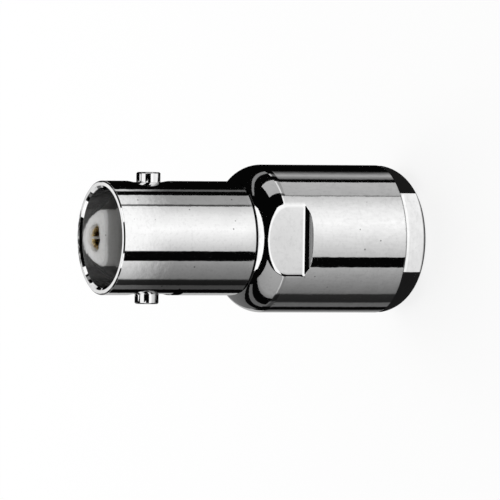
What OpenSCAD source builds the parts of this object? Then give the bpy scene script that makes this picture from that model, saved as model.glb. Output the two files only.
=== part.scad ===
// Rigid coaxial adapter: BNC jack at the top, FME plug thread in the foot.
// It stands on its FME end, with +Z along the axis and the BNC mouth up.
// The bayonet lugs lie along X and the wrench flats face -Y and +Y. Sizes are in millimetres.

/* [Overall] */
// Length from the FME end face to the BNC mouth
total_l = 28; // [26:0.5:36]

/* [BNC barrel] */
// Outside diameter of the barrel
barrel_d = 9.65; // [9.4:0.05:10.2]
// Length of barrel that stands out of the main body
barrel_l = 12.4; // [11:0.1:14]
// Wall of the barrel at the mouth
mouth_wall = 0.6; // [0.5:0.02:0.7]
// Depth of the wide bore at the mouth
mouth_bore_l = 3; // [2:0.1:4]
// Chamfer inside the rim of the mouth
rim_chamfer = 0.2; // [0.1:0.02:0.3]
// Wall round the bore that the plug's spring fingers press on
finger_wall = 0.765; // [0.72:0.005:1]
// Length of the cone that leads into the finger bore
finger_lead = 3; // [0.1:0.1:4]
// Depth of the plane that the plug's fingers seat on
seat_depth = 8.4; // [7.5:0.1:9]
// Width of the ring that the plug's fingers seat on
seat_w = 0.56; // [0.5:0.02:0.8]
// Length of the neck behind the seat
neck_l = 2; // [1:0.1:3]
// Step from the barrel down to the spigot pressed into the main body
spigot_step = 0.325; // [0.25:0.025:0.5]
// Wall of the spigot
spigot_wall = 0.7; // [0.5:0.05:0.8]
// Groove that the barrel's foot leaves where it meets the shoulder
seam = 0.2; // [0.1:0.02:0.24]

/* [Bayonet lugs] */
// Diameter of a lug
lug_d = 2.05; // [1.8:0.05:2.2]
// Distance over the two lug tips
lug_span = 11.1; // [10.8:0.05:12]
// Distance from the mouth to the lug axis
lug_depth = 4.34; // [4:0.02:5]
// Diameter of the lug's pressed shank
lug_shank_d = 1.4; // [1:0.1:1.6]
// Diameter of the spot face under each lug
spot_d = 4; // [3:0.1:4.4]
// Depth of the spot face below the barrel's surface
spot_depth = 0.13; // [0.12:0.01:0.3]

/* [Main body] */
// Outside diameter of the main body
body_d = 12.5; // [12:0.1:15]
// Radius of the rounded shoulder
shoulder_r = 2.8; // [1.6:0.1:3.4]
// Distance across the wrench flats
flats_w = 11; // [10.4:0.1:11.8]
// Distance from the barrel joint to the hollow at the end of the flats
flat_l = 3.75; // [3:0.05:6]
// Radius of the hollow that the cutter leaves at the end of each flat
runout_r = 0.7; // [0.4:0.05:1]
// Diameter of the FME end face
end_d = 9.7; // [9.2:0.02:11]
// Radius of the rounding at the FME end
foot_r = 2.9; // [1.6:0.1:3.4]

/* [FME thread] */
// Diameter of the thread at its roots, for M8 x 0.75
thread_d = 8.04; // [8:0.01:8.2]
// Depth of the last thread turn from the end face
thread_l = 3.7; // [3:0.1:4.5]
// Chamfer at the thread's mouth
thread_chamfer = 0.28; // [0.1:0.02:0.4]
// Diameter of the relief behind the thread
relief_d = 8.7; // [8.5:0.1:9.4]
// Depth of the plane that the mating jack seats on
fme_depth = 6.8; // [6:0.1:7.5]

/* [Insulators] */
// Diameter of the insulator's nose in the BNC mouth
nose_d = 4.8; // [4.4:0.05:5]
// Distance from the mouth to the face of the nose
nose_depth = 3.2; // [3.1:0.05:3.7]
// Break on the rim of the nose
nose_edge = 0.2; // [0.05:0.05:0.4]
// Diameter of the bead's face at the FME end
bead_d = 4.4; // [4:0.1:5]
// Length of the bead's face section
bead_l = 1.5; // [1:0.1:2]
// Diameter of the bead's flange
bead_flange_d = 6; // [5.4:0.1:6.8]
// Length of the bead's flange
bead_flange_l = 2.3; // [1.6:0.1:2.6]

/* [Contacts] */
// Outside diameter of the socket contact
socket_d = 2.1; // [1.9:0.05:2.3]
// Bore of the socket contact
socket_bore_d = 1.38; // [1.3:0.01:1.45]
// Depth of the socket contact's bore
socket_bore_l = 5.5; // [5:0.1:6.5]
// Distance from the nose's face to the tip of the socket contact
socket_recess = 0.2; // [0.05:0.05:0.4]
// Number of slots in the socket contact
slots = 4; // [2:1:6]
// Width of a slot
slot_w = 0.25; // [0.15:0.05:0.35]
// Length of a slot
slot_l = 4.5; // [3:0.1:5]
// Diameter of the FME pin
pin_d = 1.3; // [1.2:0.05:1.5]
// Distance from the FME end face to the pin's tip
pin_depth = 3.8; // [3.2:0.1:5]
// Diameter of the flat on the pin's tip
pin_tip_d = 0.5; // [0.3:0.05:0.8]
// Length of the taper at the pin's tip
pin_taper = 0.7; // [0.3:0.05:1]
// Diameter of the collar that the insulators trap
collar_d = 3; // [2.6:0.1:3.6]
// Length of the collar
collar_l = 1; // [0.6:0.1:1.4]
// Diameter of the shank pressed into the socket contact
shank_d = 1.2; // [1:0.05:1.4]
// Length of the shank
shank_l = 3; // [2:0.1:4]

/* [Fits] */
// Radial gap of the pieces that slip together
slip = 0.02; // [0.01:0.01:0.05]
// Radial gap that lets the slotted end of the socket contact open
tine_gap = 0.12; // [0.05:0.01:0.25]
// End gap of the pressed pieces
end_gap = 0.2; // [0.1:0.05:0.3]
// Break on the turned edges
edge = 0.1; // [0.04:0.02:0.14]

/* [Hidden] */
$fn = 96;
// Reach of the cutting shapes past the faces that they open
over = 1;

// Diameters of the barrel's bores and of its spigot
mouth_bore_d = barrel_d - 2 * mouth_wall;
finger_bore_d = barrel_d - 2 * finger_wall;
neck_d = finger_bore_d - 2 * seat_w;
spigot_d = barrel_d - 2 * spigot_step;
rear_bore_d = spigot_d - 2 * spigot_wall;

// Heights above the FME end face, from the foot up
z_bead_flange = fme_depth + bead_l;
z_floor = z_bead_flange + bead_flange_l;
z_collar = z_floor - collar_l;
z_spigot = z_floor + end_gap;
z_shank = z_floor + shank_l;
z_mouth = total_l;
z_joint = z_mouth - barrel_l;
z_flat = z_joint - flat_l;
z_seat = z_mouth - seat_depth;
z_neck = z_seat - neck_l;
z_nose = z_mouth - nose_depth;
z_socket = z_nose - socket_recess;
z_socket_bore = z_socket - socket_bore_l;
z_lug = z_mouth - lug_depth;

// The shoulder is an arc that starts at the body's side and ends at the barrel
shoulder_x = body_d / 2 - shoulder_r;
shoulder_h = sqrt(pow(shoulder_r, 2) - pow(max(0, barrel_d / 2 - shoulder_x), 2));
z_shoulder = z_joint - shoulder_h;

// The foot is an arc that starts at the end face and ends at the body's side
foot_x = body_d / 2 - foot_r;
z_foot = sqrt(pow(foot_r, 2) - pow(max(0, end_d / 2 - foot_x), 2));

// Distance from the barrel's axis to the flat that a lug's head sits on
lug_seat = barrel_d / 2 - spot_depth;

// A solid turned from its half section, with radius first and height second
module turned(section) {
    rotate_extrude() polygon(section);
}

// Places a shape made along +Z on the lug axis that points to +X or -X
module on_lug_axis(side) {
    translate([0, 0, z_lug]) rotate([0, 90 * side, 0]) children();
}

module body_blank() {
    rotate_extrude() {
        polygon([
            [0, 0],
            [foot_x, 0],
            [foot_x, z_foot],
            [body_d / 2, z_foot],
            [body_d / 2, z_shoulder],
            [shoulder_x, z_shoulder],
            [shoulder_x, z_joint],
            [0, z_joint]
        ]);
        intersection() {
            union() {
                translate([shoulder_x, z_shoulder]) circle(r = shoulder_r);
                translate([foot_x, z_foot]) circle(r = foot_r);
            }
            square([body_d / 2, z_joint]);
        }
    }
}

// Two opposite cuts that run out over the shoulder and end in the hollow that the cutter leaves
module flat_cuts() {
    reach = (body_d - flats_w) / 2 + over;
    for (turn = [0, 180]) {
        rotate([0, 0, turn]) rotate([90, 0, 90]) translate([flats_w / 2, z_flat])
            linear_extrude(height = body_d + over, center = true) {
                square([reach, flat_l + over]);
                translate([runout_r, 0]) circle(r = runout_r);
                translate([runout_r, -runout_r]) square([reach, 2 * runout_r]);
            }
    }
}

// FME thread and relief, bead seat, and the socket that takes the barrel's spigot
module body_bores() {
    mouth_d = thread_d + 2 * (thread_chamfer + over);
    turned([
        [0, -over],
        [mouth_d / 2, -over],
        [thread_d / 2, thread_chamfer],
        [thread_d / 2, thread_l],
        [relief_d / 2, thread_l],
        [relief_d / 2, fme_depth],
        [bead_d / 2, fme_depth],
        [bead_d / 2, z_bead_flange],
        [bead_flange_d / 2, z_bead_flange],
        [bead_flange_d / 2, z_floor],
        [spigot_d / 2, z_floor],
        [spigot_d / 2, z_joint + over],
        [0, z_joint + over]
    ]);
}

// Everything that is open inside the barrel, from the spigot's end to the mouth
module barrel_bore() {
    rim_d = mouth_bore_d + 2 * (rim_chamfer + over);
    turned([
        [0, z_spigot - over],
        [rear_bore_d / 2, z_spigot - over],
        [rear_bore_d / 2, z_neck],
        [neck_d / 2, z_neck],
        [neck_d / 2, z_seat],
        [finger_bore_d / 2, z_seat],
        [finger_bore_d / 2, z_mouth - mouth_bore_l - finger_lead],
        [mouth_bore_d / 2, z_mouth - mouth_bore_l],
        [mouth_bore_d / 2, z_mouth - rim_chamfer],
        [rim_d / 2, z_mouth + over],
        [0, z_mouth + over]
    ]);
}

module barrel_blank() {
    turned([
        [0, z_spigot],
        [spigot_d / 2 - edge, z_spigot],
        [spigot_d / 2, z_spigot + edge],
        [spigot_d / 2, z_joint],
        [barrel_d / 2 - seam, z_joint],
        [barrel_d / 2, z_joint + seam],
        [barrel_d / 2, z_mouth - edge],
        [barrel_d / 2 - edge, z_mouth],
        [0, z_mouth]
    ]);
}

// Shank hole and spot face for one lug
module lug_seat_cut() {
    cylinder(d = lug_shank_d, h = barrel_d);
    translate([0, 0, lug_seat]) cylinder(d = spot_d, h = over);
}

// Shouldered stud whose shank ends flush with the barrel's bore
module bayonet_lug(side) {
    difference() {
        on_lug_axis(side) turned([
            [0, 0],
            [lug_shank_d / 2, 0],
            [lug_shank_d / 2, lug_seat],
            [lug_d / 2, lug_seat],
            [lug_d / 2, lug_span / 2 - edge],
            [lug_d / 2 - edge, lug_span / 2],
            [0, lug_span / 2]
        ]);
        barrel_bore();
    }
}

module main_body() {
    color("silver") difference() {
        body_blank();
        flat_cuts();
        body_bores();
    }
}

module bnc_barrel() {
    color("silver") difference() {
        barrel_blank();
        barrel_bore();
        for (side = [-1, 1]) {
            on_lug_axis(side) lug_seat_cut();
        }
    }
}

module bayonet_lug_left() {
    color("silver") bayonet_lug(-1);
}

module bayonet_lug_right() {
    color("silver") bayonet_lug(1);
}

module bnc_insulator() {
    hole_d = socket_d + 2 * slip;
    tine_hole_d = socket_d + 2 * tine_gap;
    color("whitesmoke") turned([
        [hole_d / 2, z_floor],
        [rear_bore_d / 2 - slip, z_floor],
        [rear_bore_d / 2 - slip, z_neck],
        [neck_d / 2 - slip, z_neck],
        [neck_d / 2 - slip, z_seat],
        [nose_d / 2, z_seat],
        [nose_d / 2, z_nose - nose_edge],
        [nose_d / 2 - nose_edge, z_nose],
        [tine_hole_d / 2, z_nose],
        [tine_hole_d / 2, z_socket_bore],
        [hole_d / 2, z_socket_bore]
    ]);
}

module bnc_socket_contact() {
    color("goldenrod") difference() {
        turned([
            [shank_d / 2, z_floor],
            [socket_d / 2, z_floor],
            [socket_d / 2, z_socket - edge],
            [socket_d / 2 - edge, z_socket],
            [socket_bore_d / 2 + edge, z_socket],
            [socket_bore_d / 2, z_socket - edge],
            [socket_bore_d / 2, z_socket_bore],
            [0, z_socket_bore],
            [0, z_shank + end_gap],
            [shank_d / 2, z_shank + end_gap]
        ]);
        for (i = [0 : slots - 1]) {
            rotate([0, 0, i * 360 / slots]) translate([0, -slot_w / 2, z_socket - slot_l])
                cube([socket_d, slot_w, slot_l + over]);
        }
    }
}

module fme_insulator() {
    hole_d = pin_d + 2 * slip;
    color("whitesmoke") turned([
        [hole_d / 2, fme_depth],
        [bead_d / 2 - slip, fme_depth],
        [bead_d / 2 - slip, z_bead_flange],
        [bead_flange_d / 2 - slip, z_bead_flange],
        [bead_flange_d / 2 - slip, z_floor],
        [collar_d / 2 + slip, z_floor],
        [collar_d / 2 + slip, z_collar],
        [hole_d / 2, z_collar]
    ]);
}

module fme_pin_contact() {
    color("goldenrod") turned([
        [0, pin_depth],
        [pin_tip_d / 2, pin_depth],
        [pin_d / 2, pin_depth + pin_taper],
        [pin_d / 2, z_collar],
        [collar_d / 2, z_collar],
        [collar_d / 2, z_floor],
        [shank_d / 2, z_floor],
        [shank_d / 2, z_shank],
        [0, z_shank]
    ]);
}

main_body();
bnc_barrel();
bayonet_lug_left();
bayonet_lug_right();
bnc_insulator();
bnc_socket_contact();
fme_insulator();
fme_pin_contact();
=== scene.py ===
"""Looks of a small coaxial adapter: bright nickel shells, white insulators and gold contacts.

Lengths in this file are millimetres, and MM turns them into metres where Blender takes them.
"""

import math

import bpy
import numpy as np
from mathutils import Matrix, Vector


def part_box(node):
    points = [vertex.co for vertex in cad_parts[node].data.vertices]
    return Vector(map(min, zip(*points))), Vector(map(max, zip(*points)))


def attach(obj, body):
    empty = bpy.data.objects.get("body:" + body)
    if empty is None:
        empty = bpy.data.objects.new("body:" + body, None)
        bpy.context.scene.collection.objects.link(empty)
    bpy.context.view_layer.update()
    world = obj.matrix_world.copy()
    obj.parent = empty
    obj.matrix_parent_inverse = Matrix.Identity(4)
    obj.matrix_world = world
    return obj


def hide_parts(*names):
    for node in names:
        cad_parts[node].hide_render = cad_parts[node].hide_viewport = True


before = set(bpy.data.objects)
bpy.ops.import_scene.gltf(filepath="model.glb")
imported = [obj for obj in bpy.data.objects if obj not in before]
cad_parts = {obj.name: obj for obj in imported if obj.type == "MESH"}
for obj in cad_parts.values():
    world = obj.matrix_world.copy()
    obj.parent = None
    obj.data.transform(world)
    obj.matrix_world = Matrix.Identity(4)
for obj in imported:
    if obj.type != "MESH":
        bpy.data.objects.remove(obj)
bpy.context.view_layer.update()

MM = 0.001


def box_mm(node):
    """Lowest and highest corner of a CAD node, in millimetres."""
    low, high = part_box(node)
    return low / MM, high / MM


# Main sizes, read from the frame
body_high = box_mm("main_body")[1]
barrel_low, barrel_high = box_mm("bnc_barrel")
lug_low, lug_high = box_mm("bayonet_lug_right")
BODY_R = body_high.x
JOINT_Z = body_high.z
BARREL_R = barrel_high.y
MOUTH_Z = barrel_high.z
SPIGOT_Z = barrel_low.z
LUG_TIP = lug_high.x
LUG_R = lug_high.y
LUG_Z = (lug_low.z + lug_high.z) / 2
SOCKET_Z = box_mm("fme_insulator")[1].z

# Main body
END_R = 4.85
FOOT_R = 2.9
SHOULDER_R = 2.8
FLAT_Y = 5.5
FLAT_L = 3.75
FLAT_Z = JOINT_Z - FLAT_L
HOLLOW_R = 0.7
THREAD_MOUTH = 0.28
THREAD_ROOT_R = 4.02
THREAD_CREST_R = 3.6
THREAD_PITCH = 0.75
THREAD_L = 3.7
RELIEF_R = 4.35
FME_DEPTH = 6.8
BEAD_R = 2.2
BEAD_FLANGE_R = 3.0
BEAD_FLANGE_Z = 8.3

# Centres of the arcs that round the foot and the shoulder
FOOT_X = BODY_R - FOOT_R
FOOT_Z = math.sqrt(FOOT_R ** 2 - (END_R - FOOT_X) ** 2)
SHOULDER_X = BODY_R - SHOULDER_R
SHOULDER_Z = JOINT_Z - math.sqrt(SHOULDER_R ** 2 - (BARREL_R - SHOULDER_X) ** 2)

# Barrel
MOUTH_WALL = 0.6
MOUTH_BORE_R = BARREL_R - MOUTH_WALL
MOUTH_BORE_L = 3.0
RIM_CHAMFER = 0.2
FINGER_WALL = 0.765
FINGER_BORE_R = BARREL_R - FINGER_WALL
FINGER_LEAD = 3.0
SEAT_DEPTH = 8.4
SEAT_Z = MOUTH_Z - SEAT_DEPTH
SEAT_W = 0.56
NECK_R = FINGER_BORE_R - SEAT_W
NECK_L = 2.0
NECK_Z = SEAT_Z - NECK_L
SPIGOT_STEP = 0.325
SPIGOT_R = BARREL_R - SPIGOT_STEP
SPIGOT_WALL = 0.7
REAR_BORE_R = SPIGOT_R - SPIGOT_WALL
SEAM = 0.2
EDGE = 0.1

# Lugs and the spot faces round them
SPOT_R = 2.0
SPOT_DEPTH = 0.13
LUG_SEAT = BARREL_R - SPOT_DEPTH
LUG_SHANK_R = 0.7

# Roundings: smallest, on edges that show, and round a milled flat
CRISP = 0.02
SOFT = 0.05
MILLED_SOFT = 0.25
CORNER_STEPS = 3

# Columns across a milled flat and along the round side between two flats
ACROSS = np.linspace(-1, 1, num=25)
ROUND = np.linspace(0, 1, num=73)


# Turned and milled surfaces

def rounded(points):
    """Corners (r, z, fillet) of a section, walked with the outside on the right, as (r, z, nr, nz)."""
    rows = []
    last = len(points) - 1
    for i, (r, z, fillet) in enumerate(points):
        here = Vector((r, z))
        before = here - Vector(points[i - 1][:2])
        after = Vector(points[(i + 1) % len(points)][:2]) - here
        before.normalize()
        after.normalize()
        turn = math.atan2(before.x * after.y - before.y * after.x, before.dot(after))
        if i in (0, last) and r < CRISP:
            way = after if i == 0 else before
            rows.append((r, z, way.y, -way.x))
            continue
        reach = fillet * math.tan(abs(turn) / 2)
        side = 1 if turn > 0 else -1
        start = here - before * reach
        first = Vector((before.y, -before.x))
        centre = start - first * fillet * side
        for k in range(CORNER_STEPS + 1):
            c = math.cos(turn * k / CORNER_STEPS)
            s = math.sin(turn * k / CORNER_STEPS)
            n = Vector((first.x * c - first.y * s, first.x * s + first.y * c))
            point = centre + n * fillet * side
            rows.append((point.x, point.y, n.x, n.y))
    return rows


def ring(r, z, nr, nz, turn):
    """One row of a turned surface. A turn of 0 faces -Y, and it grows towards +X."""
    s, c = np.sin(turn), -np.cos(turn)
    flat = np.ones_like(turn)
    return np.stack([r * s, r * c, z * flat], 1), np.stack([nr * s, nr * c, nz * flat], 1)


def arc_ring(x, z, radius, tilt, turn):
    """A row of a turned arc round the point (x, z), at a tilt that may differ along the row."""
    c, s = np.cos(tilt), np.sin(tilt)
    return ring(x + radius * c, z + radius * s, c, s, turn)


def turned_rows(section, turns):
    return [ring(*row, turns) for row in rounded(section)]


def open_rows(section, turns):
    """Rows of a section without its first and last corner, which only give the directions there."""
    corner = CORNER_STEPS + 1
    return turned_rows(section, turns)[corner:-corner]


def mesh_piece(name, rows, loop):
    """A piece from rows of points and normals. Columns close on themselves, as do a loop's rows."""
    pole_size = 1e-9
    points = np.array([row[0] for row in rows]) * MM
    normals = np.array([row[1] for row in rows])
    count, columns = points.shape[:2]
    poles = {i for i in (0, count - 1) if np.ptp(points[i], axis=0).max() < pole_size}
    index = np.zeros((count, columns), int)
    flat_points, flat_normals = [], []
    for i in range(count):
        for j in range(columns):
            if i in poles and j:
                index[i, j] = index[i, 0]
                continue
            index[i, j] = len(flat_points)
            flat_points.append(points[i, j])
            flat_normals.append(normals[i, j])
    faces = []
    for i in range(count if loop else count - 1):
        k = (i + 1) % count
        for j in range(columns):
            m = (j + 1) % columns
            corners = [index[i, j], index[i, m], index[k, m], index[k, j]]
            faces.append(list(dict.fromkeys(corners)))
    mesh = bpy.data.meshes.new(name)
    mesh.from_pydata(flat_points, [], faces)
    mesh.shade_smooth()
    mesh.normals_split_custom_set_from_vertices(flat_normals)
    piece = bpy.data.objects.new(name, mesh)
    bpy.context.scene.collection.objects.link(piece)
    return piece


def split_turns(r, inside, outside):
    """Columns of a turned row, twice: across a flat to `inside`, then round from `outside`."""
    across = np.arcsin(ACROSS * inside / r)
    edge = math.asin(outside / r)
    side = edge + ROUND * (math.pi - 2 * edge)
    half = np.concatenate([across, side])
    return np.concatenate([half, half + math.pi])


def milled(row, x, y, z, nx, ny, nz):
    """Puts points of a flat, seen from its front, in place of a turned row's points at both flats."""
    points, normals = row
    zero = 0 * ACROSS
    for start, sign in ((0, 1), (len(points) // 2, -1)):
        flat = slice(start, start + len(ACROSS))
        points[flat] = np.stack([zero + sign * x, zero - sign * y, zero + z], 1)
        normals[flat] = np.stack([zero + sign * nx, zero - sign * ny, zero + nz], 1)
    return row


# Main body

def hollow_rows(turns, half_width):
    """Rows of the hollow that the cutter left at the end of each flat, up from the body's side."""
    x = ACROSS * (half_width - MILLED_SOFT)
    depth = np.sqrt(BODY_R ** 2 - x ** 2) - FLAT_Y
    foot = math.pi + np.arccos(np.clip(1 - depth / HOLLOW_R, 0, 1))
    below = ring(BODY_R, FLAT_Z - MILLED_SOFT, 1, 0, turns)
    edge_z = FLAT_Z + HOLLOW_R * np.sin(foot) - SOFT
    for start in (0, len(turns) // 2):
        below[0][start:start + len(ACROSS), 2] = edge_z
    rows = [below]
    steps = 14
    quarter = (foot - math.pi) / 4
    soft_turn = np.minimum(SOFT / HOLLOW_R, quarter)
    for k in range(steps + 1):
        angle = foot - soft_turn + (math.pi - foot + soft_turn) * k / steps
        row = ring(BODY_R, FLAT_Z + MILLED_SOFT * (2 * (k + 1) / (steps + 2) - 1), 1, 0, turns)
        y = FLAT_Y + HOLLOW_R + HOLLOW_R * np.cos(angle)
        z = FLAT_Z + HOLLOW_R * np.sin(angle)
        rows.append(milled(row, x, y, z, 0 * x, -np.cos(angle), -np.sin(angle)))
    row = ring(BODY_R, FLAT_Z + MILLED_SOFT, 1, 0, turns)
    rows.append(milled(row, x, FLAT_Y, FLAT_Z + SOFT, 0, 1, 0))
    return rows


def shoulder_rows():
    """Rows of the shoulder, where each flat runs out in an arc with a rounded edge, up to the barrel."""
    rows = []
    apex = math.acos((FLAT_Y - SHOULDER_X) / SHOULDER_R)
    top = math.acos((BARREL_R - SHOULDER_X) / SHOULDER_R)
    flat_steps = 24
    # Next to a flat the round side is lifted by the soft edge, and half way round it is not
    fade = np.abs(1 - 2 * ROUND)
    for k in range(flat_steps):
        tilt = apex * (1 - (1 - k / flat_steps) ** 2)
        r = SHOULDER_X + SHOULDER_R * math.cos(tilt)
        z = SHOULDER_Z + SHOULDER_R * math.sin(tilt)
        width = math.sqrt(r ** 2 - FLAT_Y ** 2)
        out = Vector((width * math.cos(tilt), r * math.sin(tilt))).normalized() * MILLED_SOFT
        inside = max(width - out.x, width / 3)
        turns = split_turns(r, inside, width + out.x)
        lift = np.concatenate([0 * ACROSS, fade * out.y / SHOULDER_R])
        row = arc_ring(SHOULDER_X, SHOULDER_Z, SHOULDER_R, tilt + np.tile(lift, 2), turns)
        rows.append(milled(row, ACROSS * inside, FLAT_Y, z - out.y, 0, 1, 0))
    round_steps = 20
    start = apex + (MILLED_SOFT + SOFT) / SHOULDER_R
    for k in range(round_steps + 1):
        tilt = start + (top - start) * k / round_steps
        rows.append(arc_ring(SHOULDER_X, SHOULDER_Z, SHOULDER_R, tilt, turns))
    return rows, turns


def socket_rows(narrow, turns):
    """Rows of the spigot's socket, where the columns spread again from the flats' tips."""
    rows = open_rows([
        (BARREL_R, JOINT_Z, CRISP),
        (SPIGOT_R, JOINT_Z, CRISP),
        (SPIGOT_R, SOCKET_Z, 0),
    ], narrow)
    steps = 20
    for share in np.linspace(0, 1, steps + 2)[1:-1]:
        z = JOINT_Z + (SOCKET_Z - JOINT_Z) * share
        rows.append(ring(SPIGOT_R, z, -1, 0, narrow + (turns - narrow) * share))
    return rows


def thread_rows(turns):
    """Rows of the inner thread, walked down from the relief to the mouth."""
    rows_per_turn = 14
    flank_slope = 2.4
    root_share = 0.15
    depth = THREAD_ROOT_R - THREAD_CREST_R
    steps = round(THREAD_L / THREAD_PITCH * rows_per_turn)
    rows = []
    for z in np.linspace(THREAD_L, THREAD_MOUTH, steps):
        phase = (z / THREAD_PITCH - turns / (2 * math.pi)) % 1
        ridge = np.clip((0.5 - np.abs(phase - 0.5)) * flank_slope - root_share, 0, 1)
        r = THREAD_ROOT_R - depth * ridge
        r = np.maximum(r, THREAD_ROOT_R + THREAD_MOUTH - z)
        r = np.maximum(r, THREAD_CREST_R + (z - THREAD_L) + depth)
        rows.append(ring(r, z, -1, 0, turns))
    points = np.array([row[0] for row in rows])
    around = np.roll(points, -1, 1) - np.roll(points, 1, 1)
    along = np.gradient(points, axis=0)
    normals = np.cross(around, along)
    normals /= np.linalg.norm(normals, axis=2, keepdims=True)
    return [(row[0], n) for row, n in zip(rows, normals)]


def make_body():
    half_width = math.sqrt(BODY_R ** 2 - FLAT_Y ** 2)
    turns = split_turns(BODY_R, half_width - MILLED_SOFT, half_width + MILLED_SOFT)
    foot = open_rows([
        (THREAD_ROOT_R, THREAD_MOUTH, CRISP),
        (THREAD_ROOT_R + THREAD_MOUTH, 0, CRISP),
        (END_R - SOFT, 0, 0),
    ], turns)
    foot.append(ring(END_R - SOFT, 0, 0, -1, turns))
    start = -math.asin(FOOT_Z / FOOT_R) + SOFT / FOOT_R
    steps = 30
    for k in range(steps + 1):
        foot.append(arc_ring(FOOT_X, FOOT_Z, FOOT_R, start * (1 - k / steps), turns))
    foot.append(ring(BODY_R, FLAT_Z - HOLLOW_R - MILLED_SOFT, 1, 0, turns))
    shoulder, narrow = shoulder_rows()
    inside = open_rows([
        (SPIGOT_R, JOINT_Z, 0),
        (SPIGOT_R, SOCKET_Z, CRISP),
        (BEAD_FLANGE_R, SOCKET_Z, CRISP),
        (BEAD_FLANGE_R, BEAD_FLANGE_Z, CRISP),
        (BEAD_R, BEAD_FLANGE_Z, CRISP),
        (BEAD_R, FME_DEPTH, CRISP),
        (RELIEF_R, FME_DEPTH, CRISP),
        (RELIEF_R, THREAD_L, CRISP),
        (THREAD_ROOT_R, THREAD_L, CRISP),
    ], turns)
    hollow = hollow_rows(turns, half_width)
    rows = foot + hollow + shoulder + socket_rows(narrow, turns) + inside + thread_rows(turns)
    piece = mesh_piece("turned_body", rows, True)
    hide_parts("main_body")
    return piece


# Barrel and lugs

def barrel_outside():
    """Rows of the barrel's side with a spot face at each lug, up from the seam to the mouth."""
    half_width = math.sqrt(BARREL_R ** 2 - LUG_SEAT ** 2)
    turns = split_turns(BARREL_R, half_width - CRISP, half_width + CRISP)
    x = ACROSS * (half_width - CRISP)
    surface = np.sqrt(BARREL_R ** 2 - x ** 2)
    wall = surface - LUG_SEAT
    wall_soft = np.minimum(CRISP, wall / 3)
    arc = np.sqrt(SPOT_R ** 2 - x ** 2)
    arc_end = math.sqrt(SPOT_R ** 2 - half_width ** 2)
    rows = []
    for side in (-1, 1):
        soft = side * CRISP
        # Distance from the axis, shift along it, and normal, from the side down to the spot face
        steps = [
            (surface, soft, 1, 0),
            (surface - wall_soft, 0, 0, -side),
            (LUG_SEAT + wall_soft, 0, 0, -side),
            (LUG_SEAT, -soft, 1, 0),
        ]
        middle = (len(steps) - 1) / 2
        for k, (out, shift, nout, nz) in enumerate(steps if side < 0 else steps[::-1]):
            z_side = LUG_Z + side * arc_end + (k - middle) / middle * CRISP
            row = ring(BARREL_R, z_side, 1, 0, turns)
            on_side = nout and shift == soft
            nx = x / BARREL_R if on_side else 0
            ny = surface / BARREL_R if on_side else nout
            rows.append(milled(row, x, out, LUG_Z + side * arc + shift, nx, ny, nz))
    return rows, turns


def make_barrel():
    outside, turns = barrel_outside()
    foot = open_rows([
        (SPIGOT_R, JOINT_Z, CRISP),
        (BARREL_R - SEAM, JOINT_Z, CRISP),
        (BARREL_R, JOINT_Z + SEAM, CRISP),
        (BARREL_R, LUG_Z - SPOT_R, 0),
    ], turns)
    inside = open_rows([
        (BARREL_R, LUG_Z + SPOT_R, 0),
        (BARREL_R, MOUTH_Z - EDGE, CRISP),
        (BARREL_R - EDGE, MOUTH_Z, CRISP),
        (MOUTH_BORE_R + RIM_CHAMFER, MOUTH_Z, CRISP),
        (MOUTH_BORE_R, MOUTH_Z - RIM_CHAMFER, CRISP),
        (MOUTH_BORE_R, MOUTH_Z - MOUTH_BORE_L, CRISP),
        (FINGER_BORE_R, MOUTH_Z - MOUTH_BORE_L - FINGER_LEAD, CRISP),
        (FINGER_BORE_R, SEAT_Z, CRISP),
        (NECK_R, SEAT_Z, CRISP),
        (NECK_R, NECK_Z, CRISP),
        (REAR_BORE_R, NECK_Z, CRISP),
        (REAR_BORE_R, SPIGOT_Z, CRISP),
        (SPIGOT_R - EDGE, SPIGOT_Z, CRISP),
        (SPIGOT_R, SPIGOT_Z + EDGE, CRISP),
        (SPIGOT_R, JOINT_Z, CRISP),
        (BARREL_R - SEAM, JOINT_Z, CRISP),
    ], turns)
    piece = mesh_piece("barrel", foot + outside + inside, True)
    piece.data.transform(Matrix.Rotation(math.pi / 2, 4, "Z"))
    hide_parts("bnc_barrel")
    return piece


def make_lug(name, node, side):
    columns = 64
    rows = turned_rows([
        (0, MOUTH_BORE_R, 0),
        (LUG_SHANK_R, MOUTH_BORE_R, CRISP),
        (LUG_SHANK_R, LUG_SEAT, CRISP),
        (LUG_R, LUG_SEAT, CRISP),
        (LUG_R, LUG_TIP - EDGE, SOFT),
        (LUG_R - EDGE, LUG_TIP, SOFT),
        (0, LUG_TIP, 0),
    ], np.linspace(-math.pi, math.pi, columns, endpoint=False))
    piece = mesh_piece(name, rows, False)
    place = Matrix.Translation((0, 0, LUG_Z * MM)) @ Matrix.Rotation(side * math.pi / 2, 4, "Y")
    piece.data.transform(place)
    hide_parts(node)
    return piece


# Materials

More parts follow.
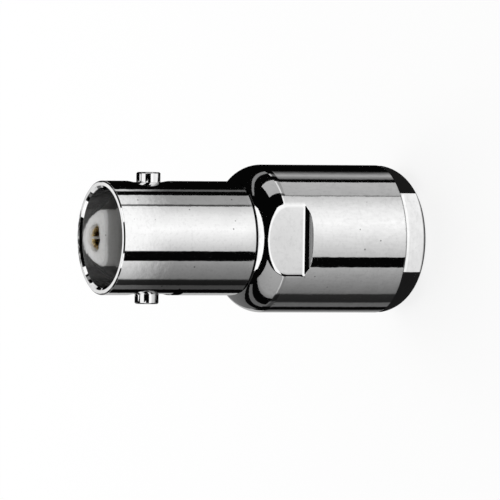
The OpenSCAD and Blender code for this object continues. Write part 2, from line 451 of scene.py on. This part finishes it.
class Nodes:
    """Short calls for building a node tree."""

    def __init__(self, name):
        self.material = bpy.data.materials.new(name)
        self.material.use_nodes = True
        self.tree = self.material.node_tree
        self.shader = self.tree.nodes["Principled BSDF"]
        self.place = self.add("ShaderNodeTexCoord").outputs["Object"]

    def add(self, kind, inputs=(), **settings):
        node = self.tree.nodes.new(kind)
        for key, value in settings.items():
            setattr(node, key, value)
        for key, value in dict(inputs).items():
            self.put(value, node.inputs[key])
        return node

    def put(self, value, socket):
        if isinstance(value, bpy.types.NodeSocket):
            self.tree.links.new(value, socket)
        else:
            socket.default_value = value

    def set(self, **values):
        for key, value in values.items():
            self.put(value, self.shader.inputs[key.replace("_", " ")])

    def show(self, shader):
        """Puts another shader in place of the first one."""
        self.tree.nodes.remove(self.shader)
        self.put(shader, self.tree.nodes["Material Output"].inputs["Surface"])

    def times(self, first, second):
        return self.add("ShaderNodeMath", {0: first, 1: second}, operation="MULTIPLY").outputs[0]

    def range(self, value, source, target):
        node = self.add("ShaderNodeMapRange", {
            "Value": value,
            "From Min": source[0],
            "From Max": source[1],
            "To Min": target[0],
            "To Max": target[1],
        })
        return node.outputs[0]

    def blend(self, share, first, second):
        """Blend of two colours. The node's sockets 6 and 7 take them, and its output 2 is the blend."""
        node = self.add("ShaderNodeMix", {"Factor": share}, data_type="RGBA")
        self.put(first, node.inputs[6])
        self.put(second, node.inputs[7])
        return node.outputs[2]

    def along(self, axis):
        """Place along one axis."""
        return self.add("ShaderNodeSeparateXYZ", {"Vector": self.place}).outputs[axis]

    def radius(self):
        """Distance from the adapter's axis."""
        level = (1, 1, 0)
        node = self.add("ShaderNodeVectorMath", {0: self.place, 1: level}, operation="MULTIPLY")
        return self.add("ShaderNodeVectorMath", {0: node.outputs[0]}, operation="LENGTH").outputs["Value"]

    def noise(self, size, detail=2.0):
        """Noise of 0 to 1 with features of about this size."""
        inputs = {"Vector": self.place, "Scale": 1 / (size * MM), "Detail": detail}
        return self.add("ShaderNodeTexNoise", inputs).outputs["Fac"]

    def rings(self, axis, size):
        """Noise that changes along one axis only, as the marks of a turning tool do."""
        inputs = {"W": self.along(axis), "Scale": 1 / (size * MM)}
        return self.add("ShaderNodeTexNoise", inputs, noise_dimensions="1D").outputs["Fac"]

    def pits(self, size, share):
        """A mask of small round specks, in about this share of cells of this size."""
        speck = (0.05, 0.12)
        step = 0.01
        cells = self.add("ShaderNodeTexVoronoi", {"Vector": self.place, "Scale": 1 / (size * MM)})
        chosen = self.add("ShaderNodeSeparateXYZ", {"Vector": cells.outputs["Color"]}).outputs["X"]
        near = self.range(cells.outputs["Distance"], speck, (1, 0))
        kept = self.range(chosen, (share, share + step), (1, 0))
        return self.times(near, kept)

    def bump(self, height, depth, below=None):
        """Bump of this many millimetres, on top of another one."""
        node = self.add("ShaderNodeBump", {"Height": height, "Distance": depth * MM, "Strength": 1.0})
        if below is not None:
            self.put(below, node.inputs["Normal"])
        return node.outputs["Normal"]


def shade(level):
    """A neutral colour."""
    return level, level, level, 1


NICKEL = 0.78

# Heights in the mouth between which the bore turns matt and its colour fades to painted shade
BORE_SHADE_TOP_Z = MOUTH_Z - 3.5
BORE_SHADE_LOW_Z = MOUTH_Z - 5.5


def nickel(name, axis, bore=None, seam=None):
    """Bright nickel plate with faint turning marks round an axis, soft ripples and a few specks.

    Deep in a bore of this radius it is matt and less metallic, and its colour is darkened there as
    painted shade; below the height of a seam its colour is darkened to near black as painted shade
    in the groove.
    """
    smudge = shade(0.7)
    stain = shade(0.64)
    speck = shade(0.2)
    # Painted shade for the deep bore
    bore_shade = shade(0.28)
    # Painted shade for the groove below the seam
    groove_shade = shade(0.02)
    m = Nodes(name)
    clouds = m.range(m.noise(size=1.6), (0.45, 0.75), (0, 0.5))
    grain = m.range(m.noise(size=0.28, detail=3.0), (0.5, 0.75), (0, 0.5))
    colour = m.blend(grain, m.blend(clouds, shade(NICKEL), smudge), stain)
    colour = m.blend(m.pits(size=0.8, share=0.2), colour, speck)
    rough = m.range(m.noise(size=1.1), (0.3, 0.7), (0.03, 0.06))
    metal = 1.0
    height = m.along("Z")
    if bore:
        border = 0.1
        matt = 0.4
        deep_metal = 0.3
        in_bore = m.range(m.radius(), (bore * MM, (bore + border) * MM), (1, 0))
        deep = m.range(height, (BORE_SHADE_LOW_Z * MM, BORE_SHADE_TOP_Z * MM), (1, 0))
        deep_bore = m.times(in_bore, deep)
        # The deep bore's colour is darkened here as painted shade; roughness and metal give its matt
        # finish
        colour = m.blend(deep_bore, colour, bore_shade)
        rough = m.add("ShaderNodeMath", {0: deep_bore, 1: matt, 2: rough}, operation="MULTIPLY_ADD").outputs[0]
        metal = m.range(deep_bore, (0, 1), (metal, deep_metal))
    if seam:
        full = seam - 0.03
        none = seam + 0.02
        # Painted shade: below the seam the colour turns near black, as shade in the groove
        groove_shade_mask = m.range(height, (full * MM, none * MM), (1, 0))
        colour = m.blend(groove_shade_mask, colour, groove_shade)
    ripples = m.bump(m.noise(size=0.7), depth=0.004)
    marks = m.bump(m.rings(axis, size=0.06), depth=0.0004, below=ripples)
    m.set(Metallic=metal, Base_Color=colour, Roughness=rough, Normal=marks)
    return m.material


def ptfe():
    """White PTFE, waxy and slightly clouded, with light that soaks through its edges."""
    white = (0.9, 0.9, 0.89, 1)
    cloudy = (0.84, 0.84, 0.83, 1)
    soak = 0.8
    m = Nodes("ptfe_white")
    colour = m.blend(m.noise(size=0.5), white, cloudy)
    rough = m.range(m.noise(size=0.3), (0.3, 0.7), (0.42, 0.55))
    grain = m.bump(m.noise(size=0.08), depth=0.002)
    m.set(Base_Color=colour, Roughness=rough, Normal=grain)
    m.set(Subsurface_Weight=1.0, Subsurface_Scale=soak * MM, Subsurface_Radius=(1, 1, 1))
    return m.material


def gold():
    """Gold plate with fine turning marks and some wear."""
    new = (0.83, 0.62, 0.27, 1)
    worn = (0.72, 0.5, 0.2, 1)
    m = Nodes("gold_plate")
    colour = m.blend(m.noise(size=0.4), new, worn)
    rough = m.range(m.noise(size=0.25), (0.3, 0.7), (0.14, 0.28))
    marks = m.bump(m.rings("Z", size=0.05), depth=0.001)
    m.set(Metallic=1.0, Base_Color=colour, Roughness=rough, Normal=marks)
    return m.material


def dress(piece, material):
    piece.data.materials.clear()
    piece.data.materials.append(material)


body = make_body()
barrel = make_barrel()
lugs = [
    make_lug("lug_left", "bayonet_lug_left", -1),
    make_lug("lug_right", "bayonet_lug_right", 1),
]
for piece in (body, barrel, *lugs):
    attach(piece, "root")
dress(body, nickel("body_nickel", "Z"))
dress(barrel, nickel("barrel_nickel", "Z", MOUTH_BORE_R, JOINT_Z + SEAM))
lug_nickel = nickel("lug_nickel", "X")
for lug in lugs:
    dress(lug, lug_nickel)
insulator_white = ptfe()
contact_gold = gold()
for name in ("bnc_insulator", "fme_insulator"):
    dress(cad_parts[name], insulator_white)
for name in ("bnc_socket_contact", "fme_pin_contact"):
    dress(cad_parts[name], contact_gold)


# Camera

TILT = math.radians(25)
AZIMUTH = math.radians(1.5)
ROLL = math.radians(0.2)
AIM = Vector((-0.98, 0, 14.12))
DISTANCE = 1200
FAR = 20000
LENS = 1022
SENSOR = 36


def direction(turn):
    """Level direction at a turn in degrees from the camera's side, growing towards +X."""
    a = math.radians(turn) + AZIMUTH
    return Vector((math.sin(a), -math.cos(a), 0))


UP = Vector((0, 0, 1))
VIEW = direction(0) * math.cos(TILT) + UP * math.sin(TILT)


def make_camera():
    up = direction(90)
    along = up.cross(VIEW)
    right = along * math.cos(ROLL) + up * math.sin(ROLL)
    top = up * math.cos(ROLL) - along * math.sin(ROLL)
    camera = bpy.data.cameras.new("camera")
    camera.sensor_width = SENSOR
    camera.lens = LENS
    camera.clip_end = FAR * MM
    eye = bpy.data.objects.new("camera", camera)
    place = Matrix.Translation((AIM + VIEW * DISTANCE) * MM)
    eye.matrix_world = place @ Matrix((right, top, VIEW)).transposed().to_4x4()
    bpy.context.scene.collection.objects.link(eye)
    bpy.context.scene.camera = eye


make_camera()


# Studio cards, which only mirror images show

BLACK = 0.02

# Degrees over which a strip fades to the black beside it
BORDER = 0.5


def card_material():
    """Gives off the glow that is painted on a card's corners, a little unevenly."""
    m = Nodes("card")
    m.material.cycles.emission_sampling = "NONE"
    glow = m.add("ShaderNodeVertexColor", layer_name="glow").outputs["Color"]
    level = m.range(m.noise(size=1.2), (0.3, 0.7), (0.95, 1.05))
    m.show(m.add("ShaderNodeEmission", {"Color": glow, "Strength": level}).outputs[0])
    return m.material


CARD = card_material()


def grey(level):
    """Brightness that a nickel mirror shows as this grey, from 0 to 1, by the sRGB curve."""
    linear = level / 12.92 if level < 0.04 else ((level + 0.055) / 1.055) ** 2.4
    return linear / NICKEL


def card(name, grid, levels):
    """A card from rows of corners, with the grey that each corner shows in the metal."""
    rows, columns = len(grid), len(grid[0])
    mesh = bpy.data.meshes.new(name)
    faces = []
    for i in range(rows - 1):
        for j in range(columns - 1):
            a = i * columns + j
            faces.append([a, a + 1, a + columns + 1, a + columns])
    mesh.from_pydata([p * MM for row in grid for p in row], [], faces)
    colour = mesh.color_attributes.new("glow", "FLOAT_COLOR", "POINT")
    for i, level in enumerate(level for row in levels for level in row):
        colour.data[i].color = shade(grey(level))
    mesh.materials.append(CARD)
    piece = bpy.data.objects.new(name, mesh)
    bpy.context.scene.collection.objects.link(piece)
    piece.visible_camera = False
    piece.visible_diffuse = False
    piece.visible_transmission = False
    piece.visible_shadow = False


def spread(stops, step=4):
    """Adds stops in between, so that a card's borders follow an arc."""
    out = []
    for first, second in zip(stops, stops[1:]):
        n = max(1, math.ceil(abs(second[0] - first[0]) / step))
        for k in range(n):
            out.append([a + (b - a) * k / n for a, b in zip(first, second)])
    return out + [stops[-1]]


def mirrored(normal):
    """Ray from the camera after a mirror that faces this way."""
    return normal * 2 * normal.dot(VIEW) - VIEW


# Cards on the floor, which the round sides mirror

def floor_image(point, normal, lift):
    """Spot just above the floor that the camera sees mirrored at a point of the metal."""
    ray = mirrored(normal)
    return point + ray * ((lift - point.z) / ray.z)


def between_black(strips):
    """Stops of the strips with black between them. A stop is a turn in degrees and its greys."""
    dark = [BLACK] * (len(strips[0][0]) - 1)
    stops = [(180, *dark)]
    for strip in strips:
        stops += [(strip[0][0] + BORDER, *dark), *strip, (strip[-1][0] - BORDER, *dark)]
    return stops + [(-180, *dark)]


def band_card(name, radius, low, high, strips, lift):
    """Strips on the floor that a round side shows as straight bands.

    Each stop gives the turn that the mirrored ray leaves at, the grey at the side's low heights
    and, where it differs, the grey at its high ones.
    """
    grid, levels = [], []
    for turn, *greys in spread(between_black(strips)):
        out = direction(turn / 2)
        grid.append([floor_image(out * radius + UP * z, out, lift) for z in low + high])
        levels.append([greys[0]] * len(low) + [greys[-1]] * len(high))
    card(name, grid, levels)


# Heights on the body and on the barrel that the bands run between
BODY_LOW = (FOOT_Z - 0.1,)
BODY_HIGH = (JOINT_Z - 0.4,)
BARREL_LOW = (JOINT_Z - 1, MOUTH_Z - 4)
BARREL_HIGH = (MOUTH_Z, MOUTH_Z + 7)

# Heights of the cards above the floor
BODY_LIFT = 0.08
BARREL_LIFT = 0.05
FOOT_LIFT = 0.02

BODY_STRIPS = [
    [(130, 0.18), (123, 0.49), (117, 0.65), (111, 0.49), (107, 0.31)],
    [(99, 0.7), (72, 0.67), (71.5, 0.47), (70, 0.47), (69.5, 0.78), (45, 0.93), (25, 0.98), (12, 0.93),
     (-8, 0.83), (-28.5, 0.73)],
    [(-46, 0.65), (-60, 0.58), (-75, 0.51), (-94, 0.42), (-98, 0.16), (-117, 0.13), (-121, 0.36),
     (-132, 0.38), (-135.5, 0.04)],
    [(-147, 0.04), (-149, 0.27), (-160, 0.55), (-179, 0.67)],
]
BARREL_STRIPS = [
    [(115.5, 0.36, 0.8), (109.5, 0.36, 0.8)],
    [(96.3, 0.58, 0.88), (73, 0.6, 0.9), (71, 0.27, 0.4), (67.6, 0.27, 0.4), (67.1, 0.78, 0.96),
     (45, 0.92, 0.99), (18, 0.99, 1), (-4, 0.89, 0.99), (-26, 0.75, 0.97)],
    [(-47.5, 0.58, 0.88), (-60, 0.52, 0.82), (-90, 0.43, 0.7), (-95, 0.11, 0.16), (-110, 0.09, 0.12),
     (-112, 0.25, 0.38), (-127, 0.25, 0.36)],
    [(-148, 0.67, 0.67), (-179, 0.67, 0.67)],
]
band_card("body_cards", BODY_R, BODY_LOW, BODY_HIGH, BODY_STRIPS, BODY_LIFT)
band_card("barrel_cards", BARREL_R, BARREL_LOW, BARREL_HIGH, BARREL_STRIPS, BARREL_LIFT)


def foot_card():
    """Floor round the foot: its rounding mirrors one bright sector with level borders and dark edges.

    The borders are distances from the middle with the share of light there, and the tilts are
    degrees down the rounding with their greys.
    """
    borders = [
        (-6.2, 0), (-2.8, 0), (-2.79, 0.92), (-0.5, 0.97), (0.5, 1), (3.85, 1), (3.86, 0), (6.2, 0),
    ]
    tilts = [
        (0, 0.43), (1.5, 0.43), (1.8, 1), (6, 1), (7, 0.93), (42, 0.93), (50, 0.24), (58, 0.16),
    ]
    dark = 0.1
    column_width = 0.5
    widest = 0.999
    grid, levels = [], []
    for degrees, level in spread(tilts):
        tilt = -math.radians(degrees)
        r = FOOT_X + FOOT_R * math.cos(tilt)
        z = FOOT_Z + FOOT_R * math.sin(tilt)
        row, greys = [], []
        for x, lit in spread(borders, column_width):
            turn = math.degrees(math.asin(max(-widest, min(widest, x / r))))
            out = direction(turn) * math.cos(tilt) + UP * math.sin(tilt)
            row.append(floor_image(direction(turn) * r + UP * z, out, FOOT_LIFT))
            greys.append(dark + (level - dark) * lit)
        grid.append(row)
        levels.append(greys)
    card("foot_card", grid, levels)


foot_card()


# Cards that stand round the adapter, which the shoulder mirrors

# Radius, and the rises in degrees of the rays to the lower and upper border
FENCE_R = 72
FENCE_LOW = -12
FENCE_HIGH = 50


def fence_card(name, stops, high=FENCE_HIGH, radius=FENCE_R - 1):
    """A curved card that is placed by the rays that the shoulder mirrors.

    Its stops are turns with their greys.
    """
    grid, levels = [], []
    steps = 8
    middle = UP * JOINT_Z
    for turn, level in spread(stops):
        row = []
        start = direction(turn / 2) * BARREL_R
        for rise in np.radians(np.linspace(FENCE_LOW, high, steps + 1)):
            ray = direction(turn) * math.cos(rise) + UP * math.sin(rise)
            along = start.dot(ray)
            reach = math.sqrt(along ** 2 + radius ** 2 - start.length_squared) - along
            row.append(middle + start + ray * reach)
        grid.append(row)
        levels.append([level] * len(row))
    card(name, grid, levels)


fence_card("fence", [(-180, BLACK), (180, BLACK)], radius=FENCE_R)
fence_card("side_card_low", [(-46, 0.65), (-94, 0.58), (-103, 0.47)])
fence_card("side_card_top", [(99, 0.7), (72, 0.67)], high=24)
fence_card("front_card", [(-40, 1), (40, 1)], high=9)
fence_card("back_card", [(-140, 0.36), (-174, 0.45)])
fence_card("strip_top", [(117, 0.5), (124, 0.5)], high=48)
fence_card("strip_low", [(-121, 0.36), (-130, 0.38)], high=44)


# Level cards over the adapter, for the top of the shoulder and for the lugs

CEILING_Z = 160
CEILING_HALF = 300

# Height of the cards beside the mouth, and the turn to both sides at which the crescent ends
CREST_Z = MOUTH_Z - 0.12
CREST_TURN = 30

# Stretch of x on each side that is left for the lug's own cards
LUG_PLANE = (4.55, 5.65)
SIDES = ((-1, "low"), (1, "top"))


def spot(x, y, z):
    """A point x upwards in the picture, y towards the camera's side and z along the adapter."""
    return direction(90) * x + direction(0) * y + UP * z


def level_card(name, z, columns, level):
    """Each column gives x and the card's two ends."""
    grid = [[spot(x, y, z) for y in ends] for x, *ends in columns]
    card(name, grid, [[level] * 2] * len(grid))


def crest_border(turn, z):
    """Where the ray that leaves the border of the shoulder's bright crescent reaches a height."""
    lowest = 49
    rise = 6
    tilt = math.radians(lowest + rise * (turn / CREST_TURN) ** 2)
    out = direction(turn)
    r = SHOULDER_X + SHOULDER_R * math.cos(tilt)
    start = out * r + UP * (SHOULDER_Z + SHOULDER_R * math.sin(tilt))
    ray = mirrored(out * math.cos(tilt) + UP * math.sin(tilt))
    end = start + ray * ((z - start.z) / ray.z)
    return end.dot(direction(90)), end.dot(direction(0))


def border_line(z, first, last, count):
    """The crescent's border at a height between two turns, as a row of x and a row of y."""
    return np.array([crest_border(turn, z) for turn in np.linspace(first, last, count)]).T


def crest_columns(border, xs, inner, side=1):
    """Columns of a level card from an inner edge out to a border."""
    return [(side * x, inner(x), float(np.interp(abs(x), *border))) for x in xs]


def past_barrel(x):
    """Inner edge of a card that stays clear of the barrel."""
    clearance = 0.05
    return math.sqrt((BARREL_R + clearance) ** 2 - x ** 2)


def past_lug(x):
    """Inner edge of a card beyond a lug, slanting back."""
    middle = 4.2
    slant = 0.5
    return middle - slant * x


def crest_cards():
    """For the bright crescent: one beside the mouth, and one past each lug with one high above it."""
    gap_z = 40
    gap_turns = (10, 22)
    gap_inner = 2
    crest = border_line(CREST_Z, 0, CREST_TURN, count=12)
    gap = border_line(gap_z, *gap_turns, count=6)
    middle = np.linspace(-LUG_PLANE[0], LUG_PLANE[0], num=21)
    outer = np.linspace(LUG_PLANE[1], crest[0][-1], num=9)
    level_card("crest_card", CREST_Z, crest_columns(crest, middle, past_barrel), 1)
    for side, name in SIDES:
        level_card("crest_side_" + name, CREST_Z, crest_columns(crest, outer, past_lug, side), 1)
        level_card("crest_gap_" + name, gap_z, crest_columns(gap, gap[0], lambda x: gap_inner, side), 1)


def lug_cards():
    """For each lug, a bright card above it and a dark one below it."""
    bright = 0.96
    bright_ends = (0.4, 3.5)
    dark_ends = (-1, 1.4)
    drop = 2.7
    for side, name in SIDES:
        level_card("lug_card_" + name, CREST_Z, [(side * x, *bright_ends) for x in LUG_PLANE], bright)
        level_card("lug_shade_" + name, LUG_Z - drop, [(side * x, *dark_ends) for x in LUG_PLANE], BLACK)


ceiling_ends = (-CEILING_HALF, CEILING_HALF)
level_card("ceiling", CEILING_Z, [(x, *ceiling_ends) for x in ceiling_ends], BLACK)
crest_cards()
lug_cards()


# Small cards, each for one edge

def rim_card():
    """Behind the mouth, low enough to leave the far part of the rim dark."""
    half_width = 4.72
    back = 8
    borders = [(1.8, 0.8), (6.6, 0.98)]
    ends = (-half_width, half_width)
    grid = [[spot(x, -back, MOUTH_Z + rise) for x in ends] for rise, level in borders]
    card("rim_card", grid, [[level] * 2 for rise, level in borders])


def rim_patch(name, first, last):
    """Over the mouth, for a short stretch of the chamfer inside the far rim."""
    steps = 8
    reach = 10
    tilts = np.radians((38, 52))
    grid = []
    for turn in np.linspace(first, last, steps + 1):
        start = UP * (MOUTH_Z - RIM_CHAMFER / 2) - direction(turn) * (MOUTH_BORE_R + RIM_CHAMFER / 2)
        normals = [direction(turn) * math.cos(tilt) + UP * math.sin(tilt) for tilt in tilts]
        grid.append([start + mirrored(normal) * reach for normal in normals])
    card(name, grid, [[1] * 2] * len(grid))


def hollow_shade():
    """Over the cutter's hollow, along the rays that the flat mirrors, so that it isn't seen there."""
    half_width = 2.5
    gap = 0.04
    rise = 0.04
    stops = [(0, 0.6), (0.35, 0.45)]
    ray = mirrored(Vector((0, -1, 0)))
    grid = []
    for x in (-half_width, half_width):
        start = Vector((x, -FLAT_Y - gap, FLAT_Z + rise))
        grid.append([start + ray * reach for reach, level in stops])
    card("hollow_shade", grid, [[level for reach, level in stops]] * 2)


rim_card()
rim_patch("rim_patch_top", -45, -23)
rim_patch("rim_patch_low", 34, 45)
hollow_shade()


# Floor, world and lamp

def seen_directly(tree):
    """1 for rays from the camera, from mirrors and through clear parts, and 0 for diffuse light."""
    path = tree.nodes.new("ShaderNodeLightPath")
    total = path.outputs["Is Camera Ray"]
    for kind in ("Is Glossy Ray", "Is Transmission Ray"):
        add = tree.nodes.new("ShaderNodeMath")
        add.use_clamp = True
        tree.links.new(total, add.inputs[0])
        tree.links.new(path.outputs[kind], add.inputs[1])
        total = add.outputs[0]
    return total


def make_floor():
    """A pale floor that looks white where no shadow falls."""
    half = 3000 * MM
    own_light = 0.85
    pale = shade(0.92)
    mesh = bpy.data.meshes.new("floor")
    corners = [(-half, -half, 0), (half, -half, 0), (half, half, 0), (-half, half, 0)]
    mesh.from_pydata(corners, [], [(0, 1, 2, 3)])
    floor = bpy.data.objects.new("floor", mesh)
    bpy.context.scene.collection.objects.link(floor)
    m = Nodes("pale_floor")
    share = m.times(seen_directly(m.tree), own_light)
    diffuse = m.add("ShaderNodeBsdfDiffuse", {"Color": pale}).outputs[0]
    light = m.add("ShaderNodeEmission").outputs[0]
    m.show(m.add("ShaderNodeMixShader", {0: share, 1: diffuse, 2: light}).outputs[0])
    mesh.materials.append(m.material)


def make_world():
    """White where it is seen, and dimmer as a light."""
    as_light = 0.35
    as_seen = 1.0
    world = bpy.data.worlds.new("studio")
    world.use_nodes = True
    tree = world.node_tree
    level = tree.nodes.new("ShaderNodeMapRange")
    level.inputs["To Min"].default_value = as_light
    level.inputs["To Max"].default_value = as_seen
    tree.links.new(seen_directly(tree), level.inputs["Value"])
    tree.links.new(level.outputs[0], tree.nodes["Background"].inputs["Strength"])
    tree.nodes["Background"].inputs["Color"].default_value = shade(1)
    bpy.context.scene.world = world


def make_softbox():
    """Over the adapter and a little behind it, with the energy that gives this brightness."""
    back = 150 * MM
    height = 300 * MM
    width = 260 * MM
    depth = 280 * MM
    brightness = 4
    light = bpy.data.lights.new("softbox", "AREA")
    light.shape = "RECTANGLE"
    light.size = width
    light.size_y = depth
    light.energy = brightness * math.pi * width * depth
    lamp = bpy.data.objects.new("softbox", light)
    lamp.location = (0, back, height)
    lamp.rotation_euler = (-math.atan2(back, height), 0, 0)
    lamp.visible_camera = False
    lamp.visible_glossy = False
    bpy.context.scene.collection.objects.link(lamp)


make_floor()
make_world()
make_softbox()
bpy.context.scene.view_settings.view_transform = "Standard"
